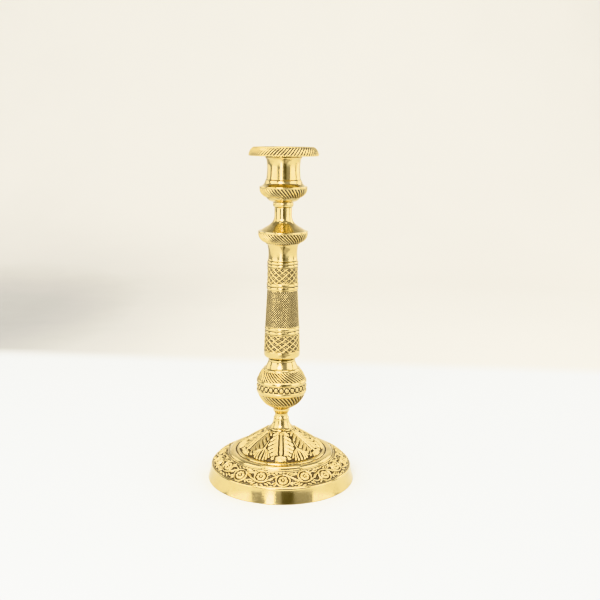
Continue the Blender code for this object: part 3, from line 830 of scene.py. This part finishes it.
ball_low, _, ball_radius = span("ball_knop")
NECK_FOOT, BELL_TOP = 14.6, 7.5  # the ball's radii where the neck and the bell meet it
RING_LOW, RING_HIGH, PEARLS_HIGH = 3.1, 6.4, 3.0  # heights of the ringed band, from the equator
SWIRL_START = 6.5
knop = ball_low + 3.6
bell_z = knop + 9.5
middle = bell_z + math.sqrt(ball_radius**2 - BELL_TOP**2)
neck_z = middle + math.sqrt(ball_radius**2 - NECK_FOOT**2)
neck_top = neck_z + 7.8
low_angle = -math.degrees(math.acos(BELL_TOP / ball_radius))
swirl_end = math.degrees(math.acos(NECK_FOOT / ball_radius)) - 4.5
cup_top = -15.8  # height of the plain cup's edge under the ball


def on_ball(height):
    """The angle above the equator of a height on the ball."""
    return math.degrees(math.asin(height / ball_radius))


def ball_arc(first, last, steps):
    """A stretch of the ball's outline between two angles."""
    return arc(ball_radius, middle, first, last, steps)


def ball_bead(low, high):
    """A plain rounded ring standing off the ball."""
    a, b = ((math.sqrt(ball_radius**2 - h**2), middle + h) for h in (low, high))
    return bead(a, b, RING_PROUD)


ball = [
    plain(
        (ROD_BORE, ball_low), (TENON, ball_low), (TENON, knop), (6.6, knop), (6.7, knop + 0.4),
        *curve((6.5, knop + 0.7), (5.7, knop + 1.6), (5.6, knop + 2.6), (5.6, knop + 4.2), 8),
        *curve(
            (5.6, knop + 4.5), (6.3, knop + 5.4), (7.2, bell_z - 3.0), (7.45, bell_z - 0.4), 10
        ),
        *ball_arc(low_angle + 1, on_ball(cup_top), 6),
    ),
    (ball_arc(on_ball(cup_top), on_ball(-SWIRL_START), 12), swirl(38, 24, 0.75), BALL_PITCH),
    plain(*ball_bead(-RING_HIGH, -RING_LOW)),
    (ball_arc(on_ball(-PEARLS_HIGH), on_ball(PEARLS_HIGH), 8), pearls(28, 0.8), PEARL_PITCH),
    plain(*ball_bead(RING_LOW, RING_HIGH)),
    (ball_arc(on_ball(SWIRL_START), swirl_end, 12), swirl(40, 31, 0.8), BALL_PITCH),
    plain(
        *bead(ball_arc(swirl_end, swirl_end, 1)[0], (14.5, neck_z + 0.1), 0.3, 6),
        *curve(
            (14.2, neck_z + 0.3), (13.4, neck_z + 1.3), (12.4, neck_z + 3.2),
            (11.6, neck_z + 5.6),
            10,
        ),
        (11.4, neck_z + 6.2), (11.6, neck_z + 6.4), (11.6, neck_top - 0.2), (11.3, neck_top),
        (SHAFT_TENON, neck_top), (SHAFT_TENON, neck_top + 5.6), (9.5, neck_top + 6.0),
        (ROD_BORE, neck_top + 6.0),
    ),
    as_cast(
        (ROD_BORE, neck_top + 6.0), (ROD_BORE, middle + 21.45), (16.5, middle + 8.25),
        (16.5, middle - 8.25), (ROD_BORE, middle - 21.45), (ROD_BORE, ball_low),
    ),
]
ball = lathe("ball_knop_turning", ball, 640)
finish(ball, "ball_knop", "stand", turned_brass)

# ---------------------------------------------------------------- the shaft

shaft_low, shaft_high, shaft_radius = span("shaft")
RINGS = 6.0  # height of a pair of rings
wide, slim = shaft_radius - 0.17, 12.9
band_low = shaft_low + 7.2
ring_low = band_low + 14.5
taper_low = ring_low + RINGS
ring_top = shaft_high - 5.3
band_high = ring_top - 13.2
ring_high = band_high - RINGS
taper_foot = wide - (wide - slim) / 3


def two_beads(radius, z, height):
    """Two rounded rings, one over the other."""
    half = height / 2
    return [
        *bead((radius, z + 0.15), (radius, z + half - 0.15), RING_PROUD),
        *bead((radius, z + half + 0.15), (radius, z + height - 0.15), RING_PROUD),
    ]


shaft = [
    plain(
        (SHAFT_BORE, shaft_low), (11.2, shaft_low),
        *curve(
            (11.4, shaft_low + 0.1), (12.9, shaft_low + 0.3), (15.1, shaft_low + 1.2),
            (15.4, shaft_low + 2.9),
        ),
        (15.45, band_low - 1.4), (15.35, band_low - 0.5), (15.1, band_low - 0.1),
        (wide, band_low),
    ),
    ([(wide, band_low), (wide - 0.45, ring_low)], lattice(14, 3.0, 0.8, 0.56), LATTICE_PITCH),
    plain(
        (wide - 0.45, ring_low),
        *two_beads(wide - 0.95, ring_low, RINGS),
        (taper_foot - 0.2, taper_low),
    ),
    ([(taper_foot, taper_low + 0.3), (slim, ring_high - 0.3)], knurl(44, 15, 0.55), KNURL_PITCH),
    plain((slim - 0.1, ring_high), *two_beads(slim, ring_high, RINGS), (slim - 0.1, band_high)),
    ([(slim, band_high), (slim - 0.1, ring_top)], lattice(14, 2.8, 0.75, 0.54), LATTICE_PITCH),
    plain(
        (slim - 0.2, ring_top),
        *two_beads(slim - 0.35, ring_top, 5.2),
        (slim - 0.6, shaft_high), (SHAFT_BORE, shaft_high),
    ),
    as_cast((SHAFT_BORE, shaft_high), (SHAFT_BORE, shaft_low)),
]
shaft = lathe("shaft_turning", shaft, 640)
finish(shaft, "shaft", "stand", turned_brass)

# ---------------------------------------------------------------- the shoulder

shoulder_low, shoulder_high, disc = span("shoulder_knop")
INSIDE = 7.6  # radius of its hollow
neck_low = shoulder_low + 6.0
disc_low = neck_low + 14.5
lip = disc_low + 9.0
cone_low = lip + 1.2
pillar_low = cone_low + 12.0
pillar_high = pillar_low + 7.1
shoulder_rope = curve(
    (14.3, disc_low + 0.1), (18.2, disc_low + 1.6), (disc - 0.1, lip - 5.0),
    (disc - 0.2, lip - 0.2),
    16,
)
shoulder = [
    as_cast((ROD_BORE, disc_low + 4.3), (INSIDE, disc_low), (INSIDE, shoulder_low)),
    plain(
        (INSIDE, shoulder_low), (9.5, shoulder_low), (SHAFT_TENON, shoulder_low + 0.4),
        (SHAFT_TENON, neck_low), (12.5, neck_low), (12.55, neck_low + 0.5),
        *curve(
            (12.3, neck_low + 1.0), (12.0, neck_low + 4.0), (11.9, disc_low - 4.4),
            (13.2, disc_low - 1.2),
            16,
        ),
        (13.7, disc_low - 0.7), (14.2, disc_low - 0.6), (14.3, disc_low - 0.1),
    ),
    (shoulder_rope, rope(46, 0.85, 0.9), ROPE_PITCH),
    plain(
        (disc - 0.2, lip - 0.1), (disc, lip + 0.3), (disc - 0.2, cone_low - 0.1),
        (disc - 0.9, cone_low),
        *curve(
            (disc - 1.6, cone_low + 0.1), (12.4, cone_low + 4.4), (7.9, cone_low + 5.8),
            (PILLAR, pillar_low),
            18,
        ),
        (PILLAR, pillar_high), (TENON, pillar_high), (TENON, shoulder_high),
        (ROD_BORE, shoulder_high), (ROD_BORE, disc_low + 4.3),
    ),
]
shoulder = lathe("shoulder_turning", shoulder, 720)
finish(shoulder, "shoulder_knop", "stand", turned_brass)

# ---------------------------------------------------------------- the candle cup

cup_low, cup_high, bulge = span("candle_cup")
cup_band = cup_low + 8.0
cup_lip = cup_band + 8.2
cup_shoulder = cup_lip + 1.2
throat_z = cup_shoulder + 5.0
cup_hole = cup_low + 8.3
cup_floor = cup_hole + 3.4
cup_rope = curve(
    (14.0, cup_band + 0.1), (17.2, cup_band + 1.4), (bulge - 0.3, cup_lip - 4.6),
    (bulge - 0.3, cup_lip - 0.2),
    16,
)
cup = [
    plain(
        (0, cup_hole), (ROD_BORE, cup_hole), (ROD_BORE, cup_low + 2.7),
        (TENON_HOLE, cup_low + 2.7), (TENON_HOLE, cup_low), (PILLAR, cup_low),
        *bead((7.4, cup_low + 0.15), (8.4, cup_low + 3.4), RING_PROUD),
        (8.3, cup_low + 3.8), (8.5, cup_low + 4.3),
        *curve(
            (8.9, cup_low + 4.6), (10.6, cup_low + 4.9), (13.0, cup_low + 6.0),
            (13.3, cup_band - 0.7),
            12,
        ),
        (13.8, cup_band - 0.7), (14.0, cup_band - 0.1),
    ),
    (cup_rope, rope(42, 0.68, 0.75), ROPE_PITCH),
    plain(
        (bulge - 0.3, cup_lip - 0.1), (bulge, cup_lip + 0.4), (bulge - 0.3, cup_shoulder - 0.1),
        (bulge - 1.0, cup_shoulder),
        *curve(
            (bulge - 1.5, cup_shoulder + 0.05), (16.6, cup_shoulder + 1.1),
            (15.5, throat_z - 2.6), (15.2, throat_z - 0.2),
            12,
        ),
        (14.8, throat_z), (14.6, throat_z + 0.3),
        *curve(
            (14.4, throat_z + 0.5), (13.3, throat_z + 6.6), (13.4, cup_high - 4.4),
            (14.5, cup_high - 1.7),
            18,
        ),
        (14.7, cup_high - 1.5), (15.0, cup_high - 1.3), (15.35, cup_high - 0.6), (15.1, cup_high),
        (12.3, cup_high),
    ),
    as_cast((CUP_BORE, cup_high), (CUP_BORE, cup_floor), (0, cup_floor)),
]
cup = lathe("candle_cup_turning", cup, 720, closed=False)
finish(cup, "candle_cup", "stand", turned_brass)

# ---------------------------------------------------------------- the bobeche

bobeche_low, bobeche_high, pan = span("bobeche")
pan_low = bobeche_high - 7.7
pan_floor = pan_low + 1.3
crest = pan - 5.9
dish = crest - 3.2
brim_low = bobeche_high - 7.3
under_crest = bobeche_high - 1.3
brim_rope = curve(
    (pan, brim_low + 0.5), (pan, brim_low + 3.4), (crest + 3.6, bobeche_high - 0.2),
    (crest + 1.0, bobeche_high),
    16,
)
bobeche = [
    plain(
        (SLEEVE_BORE, bobeche_low), (SLEEVE, bobeche_low), (SLEEVE, pan_low), (15.9, pan_low),
        (16.2, pan_low + 0.4),
        *curve(
            (dish, pan_low + 0.4), (dish + 1.6, pan_low + 0.4), (crest - 0.8, under_crest),
            (crest, under_crest),
            10,
        ),
        *curve(
            (crest, under_crest), (pan - 2.9, under_crest), (pan - 1.3, brim_low + 2.6),
            (pan - 1.3, brim_low),
            12,
        )[1:],
        (pan - 1.2, brim_low), (pan - 0.3, brim_low), (pan, brim_low + 0.4),
    ),
    (brim_rope, rope(64, -0.75, 0.6), ROPE_PITCH),
    plain(
        *curve(
            (crest + 0.9, bobeche_high), (crest - 1.2, bobeche_high), (dish + 0.8, pan_floor),
            (dish - 0.8, pan_floor),
        ),
        (14.2, pan_floor), (13.5, pan_low + 1.5),
        *bead((13.45, pan_low + 1.6), (11.35, pan_low + 3.2), 0.35, 6),
        (SLEEVE_BORE, pan_low + 2.9), (SLEEVE_BORE, bobeche_low),
    ),
]
bobeche = lathe("bobeche_turning", bobeche, 720)
finish(bobeche, "bobeche", "bobeche", turned_brass)

# ---------------------------------------------------------------- iron parts

rod_low, rod_high, rod_radius = span("tie_rod")
CHAMFER = 0.6  # at the rod's ends
lower_thread = (rod_low + CHAMFER, rod_low + 16.0)
upper_thread = (rod_high - 14.0, rod_high - CHAMFER)
rod = [
    plain((0, rod_low), (rod_radius - CHAMFER, rod_low), (rod_radius, rod_low + CHAMFER)),
    ([(rod_radius, z) for z in lower_thread], thread(1.0, 0.45), THREAD_PITCH),
    plain((rod_radius, lower_thread[1]), (rod_radius, upper_thread[0])),
    ([(rod_radius, z) for z in upper_thread], thread(1.0, 0.45), THREAD_PITCH),
    plain((rod_radius - CHAMFER, rod_high), (0, rod_high)),
]
finish(lathe("tie_rod_threaded", rod, 96, closed=False), "tie_rod", "stand", iron)

washer_low, washer_high, washer_radius = span("washer")
washer = [
    plain(
        (ROD_BORE, washer_low), (washer_radius - 0.5, washer_low + 0.12),
        (washer_radius, washer_low + 0.5), (washer_radius, washer_high - 0.3),
        (washer_radius - 0.3, washer_high), (ROD_BORE, washer_high), (ROD_BORE, washer_low),
    ),
]
finish(lathe("washer_disc", washer, 128), "washer", "stand", iron)


def nut():
    """A square nut with worn corners and a chamfered bore, skinned over rings of points."""
    low, high = (np.array(c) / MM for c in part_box("square_nut"))
    half, side = high[0], 32
    bore = rod_radius + 0.3
    bm = bmesh.new()
    angles = [TURN * (k + 0.5) / side for k in range(side)]

    def ring(size, z, round_one):
        out = []
        for a in angles:
            c, s = math.cos(a), math.sin(a)
            if round_one:
                r = size
            else:
                reach = size / max(abs(c), abs(s))
                r = min(reach, size * 1.33)
            out.append(bm.verts.new((r * c * MM, r * s * MM, z * MM)))
        return out

    rings = [
        ring(bore, low[2] + 0.6, True),
        ring(bore + 0.5, low[2], True),
        ring(half - 1.2, low[2], False),
        ring(half - 0.2, low[2] + 0.7, False),
        ring(half, low[2] + 1.2, False),
        ring(half, high[2] - 1.2, False),
        ring(half - 0.2, high[2] - 0.7, False),
        ring(half - 1.2, high[2], False),
        ring(bore + 0.5, high[2], True),
        ring(bore, high[2] - 0.6, True),
    ]
    for a, b in zip(rings, rings[1:] + rings[:1]):
        for k in range(side):
            j = (k + 1) % side
            bm.faces.new((a[k], a[j], b[j], b[k]))
    bmesh.ops.recalc_face_normals(bm, faces=bm.faces)
    mesh = bpy.data.meshes.new("square_nut_forged")
    bm.to_mesh(mesh)
    bm.free()
    return placed("square_nut_forged", mesh)


finish(nut(), "square_nut", "stand", iron)

# ---------------------------------------------------------------- studio

WIDE = 4.0  # half the floor's width
BACK, SWEEP = 1.7, 0.7  # where the backdrop stands, and the radius of its curve from the floor
WALL = 3.2  # the backdrop's height
CLOTH_EDGE = 0.385  # the white table ends this far behind the object
EDGE_SLANT = 0.085  # how much nearer the table's edge is for each metre to the right
FLOOR = (0.65, 0.656, 0.652)
CLOTH = (0.67, 0.649, 0.602)
CENTRE = (0, 0, 0.14)  # what the lamps face


def staged(name, corners, faces):
    """A surface that isn't part of the object."""
    mesh = bpy.data.meshes.new(name)
    mesh.from_pydata(corners, [], faces)
    piece = placed(name, mesh)
    return piece


def stage_material(name):
    """A white table top that ends in a soft edge, with a warm cloth behind and a painted shadow on
    the cloth at its left.
    """
    n = Nodes(name)
    split = n.add("ShaderNodeSeparateXYZ")
    n.put(n.place, split.inputs[0])
    slant = n.maths("MULTIPLY", split.outputs["X"], EDGE_SLANT)
    depth = n.maths("ADD", split.outputs["Y"], slant)
    far = n.spread(depth, CLOTH_EDGE - 0.028, CLOTH_EDGE + 0.036)
    mottle = n.spread(n.noise(3.2, 4, 0.6), 0.3, 0.7, 0.0, 0.08)
    # painted shadow: the cloth is darkened towards the left, most near the table's edge and fading
    # away from it
    left = n.spread(split.outputs["X"], 0.05, -0.45, 0.0, 1.0)
    fading = n.spread(depth, CLOTH_EDGE + 1.2, CLOTH_EDGE + 0.1, 0.0, 0.85)
    left_painted_shadow = n.maths("MULTIPLY", left, fading)
    shade = n.maths("ADD", mottle, left_painted_shadow)
    cloth = n.colours(shade, CLOTH, tuple(c * 0.45 for c in CLOTH))
    n.put(n.colours(far, FLOOR, cloth), n.shader.inputs["Base Color"])
    n.shader.inputs["Roughness"].default_value = 0.85
    n.shader.inputs["Specular IOR Level"].default_value = 0.15
    return n.material


profile = [(-4.0, 0.0), (-1.0, 0.0), (0.3, 0.0), (BACK - SWEEP, 0.0)]
profile += [
    (BACK - SWEEP + SWEEP * math.sin(a), SWEEP - SWEEP * math.cos(a))
    for a in np.linspace(0, math.pi / 2, 25)[1:]
]
profile.append((BACK, WALL))
floor = staged(
    "floor",
    [(x, y, z) for y, z in profile for x in (-WIDE, WIDE)],
    [(2 * k, 2 * k + 1, 2 * k + 3, 2 * k + 2) for k in range(len(profile) - 1)],
)
floor.data.shade_smooth()
floor.data.materials.append(stage_material("floor_finish"))


def card(name, corners, dark, light):
    """A card that is only there to be reflected in the brass."""
    piece = staged(name, corners, [(0, 1, 2, 3)])
    piece.visible_camera = piece.visible_diffuse = piece.visible_shadow = False
    n = Nodes(name + "_finish")
    n.put(n.colours(n.noise(9), dark, light), n.shader.inputs["Base Color"])
    n.shader.inputs["Roughness"].default_value = 1.0
    piece.data.materials.append(n.material)


def lying(left, right, front, back, z):
    """The corners of a flat card."""
    return [(left, front, z), (right, front, z), (right, back, z), (left, back, z)]


def standing(left, right, y, low, high):
    """The corners of an upright card."""
    return [(left, y, low), (right, y, low), (right, y, high), (left, y, high)]


flag = standing(0.02, 0.36, -0.98, 0.003, 0.62)
strip = lying(0.005, 0.10, -0.97, -0.20, 0.003)
grey = lying(-0.12, 0.5, -2.2, -0.24, 0.002)
card("dark_flag", flag, (0.05, 0.043, 0.03), (0.10, 0.09, 0.065))
card("dark_strip", strip, (0.06, 0.05, 0.035), (0.12, 0.10, 0.07))
card("grey_card", grey, (0.26, 0.25, 0.22), (0.36, 0.34, 0.30))


def softbox(name, place, width, height, power):
    """A rectangular lamp that faces the middle of the object."""
    light = bpy.data.lights.new(name, "AREA")
    light.shape = "RECTANGLE"
    light.size, light.size_y, light.energy = width, height, power
    holder = placed(name, light)
    holder.location = place
    holder.rotation_euler = (Vector(CENTRE) - Vector(place)).to_track_quat("-Z", "Y").to_euler()


softbox("window_left", (-1.5, -0.7, 0.75), 1.3, 1.5, 20)
softbox("window_right", (1.5, -0.6, 0.7), 1.2, 1.4, 16)
softbox("window_low", (-0.25, -0.90, 0.36), 0.16, 0.7, 4.5)
softbox("window_back_right", (1.4, 0.75, 0.6), 1.0, 1.2, 11)
softbox("window_back_left", (-1.4, 0.75, 0.6), 0.8, 1.0, 4)
softbox("window_front", (-0.5, -1.5, 1.35), 0.8, 0.5, 34)
softbox("ceiling", (0, -0.2, 2.0), 1.5, 0.8, 30)

world = bpy.data.worlds.new("studio")
bpy.context.scene.world = world
world.use_nodes = True
sky = world.node_tree.nodes["Background"]
sky.inputs["Color"].default_value = (1.0, 0.965, 0.90, 1)
sky.inputs["Strength"].default_value = 0.52
bpy.context.scene.view_settings.view_transform = "Khronos PBR Neutral"

# ---------------------------------------------------------------- camera

CAMERA_PLACE = (0, -0.7156, 0.2935)
LENS, SENSOR, SHIFT = 51.6, 36.0, 0.0294
TILT, ROLL = 79.2, 0.54  # degrees: up from straight down, and round the line of sight
camera_data = bpy.data.cameras.new("camera")
camera_data.lens, camera_data.sensor_width = LENS, SENSOR
camera_data.shift_x = SHIFT
camera_data.dof.use_dof = False
camera = placed("camera", camera_data)
camera.location = CAMERA_PLACE
view = Euler((math.radians(TILT), 0, 0)).to_matrix() @ Matrix.Rotation(math.radians(ROLL), 3, "Z")
camera.rotation_euler = view.to_euler()
bpy.context.scene.camera = camera
